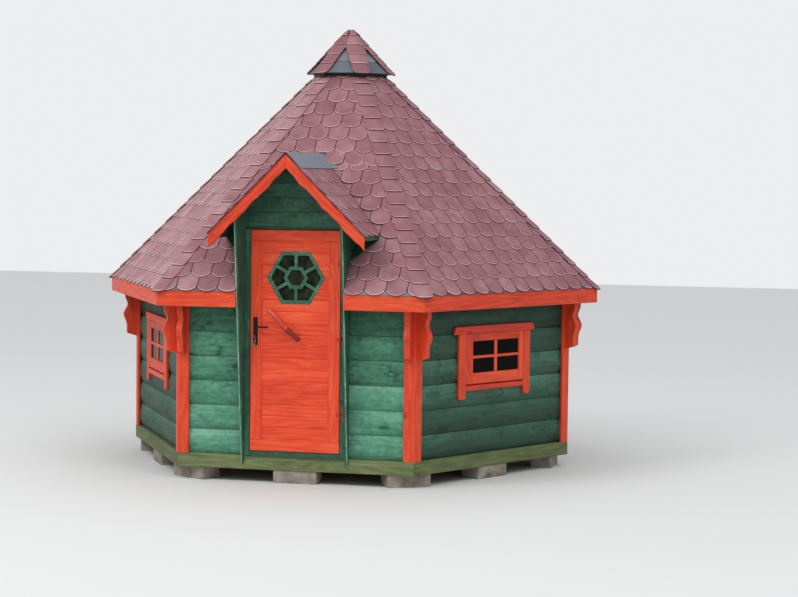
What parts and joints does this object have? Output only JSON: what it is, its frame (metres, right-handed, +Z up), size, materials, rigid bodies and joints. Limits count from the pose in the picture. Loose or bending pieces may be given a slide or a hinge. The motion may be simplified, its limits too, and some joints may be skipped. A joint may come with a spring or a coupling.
{
  "type": "grill hut",
  "caption": "Six-sided wooden grill hut with a steep shingled roof, a vent hat, carved eave corbels and a hinged door under a small dormer.",
  "frame": {"origin": "on the ground at the middle of the hut, at the foot of the middle ground block", "axes": "+Z up, -Y out through the door, +X to the right seen from the door side"},
  "size_m": [4.2656, 3.8152, 3.62],
  "materials": {
    "ground": "rough cast concrete",
    "base": "pressure-treated, pale green, sawn",
    "floor": "planed boards",
    "wall": "green wood stain, planed planks",
    "trim": "red-orange wood stain",
    "roof": "boards under red-brown bitumen shingles",
    "rafter": "planed, unpainted",
    "collar": "dark green wood stain",
    "felt": "grey mineral roofing felt",
    "cheek": "green wood stain",
    "door": "red-orange wood stain",
    "jamb_hinge": "painted over with the door",
    "lattice": "green wood stain",
    "glass": "clear pane",
    "iron": "black, satin"
  },
  "bodies": {
    "hut": {"foundation_blocks": "ground", "base_frame": "base", "floor_joists": "base", "floor": "floor", "front_wall_left": "wall", "front_wall_right": "wall", "right_front_wall": "wall", "right_rear_wall": "wall", "rear_wall": "wall", "left_rear_wall": "wall", "left_front_wall": "wall", "corner_posts": "trim", "eave_corbels": "trim", "fascia_boards": "trim", "bargeboard_left": "trim", "bargeboard_right": "trim", "window_sashes": "trim", "window_lintels": "trim", "window_jamb_boards": "trim", "window_bottom_rails": "trim", "roof_panel_front": "roof", "roof_panel_right_front": "roof", "roof_panel_right_rear": "roof", "roof_panel_rear": "roof", "roof_panel_left_rear": "roof", "roof_panel_left_front": "roof", "vent_hat": "roof", "dormer_roof_left": "roof", "dormer_roof_right": "roof", "hip_rafters": "rafter", "vent_collar": "collar", "dormer_ridge_strip": "felt", "dormer_cheek_left": "cheek", "dormer_cheek_right": "cheek", "gable_boards": "cheek", "door_jamb_left": "cheek", "door_jamb_right": "cheek", "door_head": "cheek", "door_threshold": "cheek", "jamb_hinges": "jamb_hinge", "window_glass": "glass"},
    "door": {"door_leaf": "door", "door_frame": "door", "door_window_lattice": "lattice", "door_window_glass": "glass", "door_hinges": "door", "door_pull": "door", "lock_plates": "iron"},
    "lever": {"door_lever": "iron"}
  },
  "joints": [
    {"name": "door_hinge", "type": "hinge", "parent": "hut", "child": "door", "pos_m": [0.3625, -1.66943, 1.1375], "axis": [0, 0, 1], "range_deg": [0, 100]},
    {"name": "lever_turn", "type": "hinge", "parent": "door", "child": "lever", "pos_m": [-0.318, -1.66213, 1.221], "axis": [0, 1, 0], "range_deg": [0, 45], "stiffness_Nm_per_rad": 1.5, "springref_deg": -17.19}
  ]
}
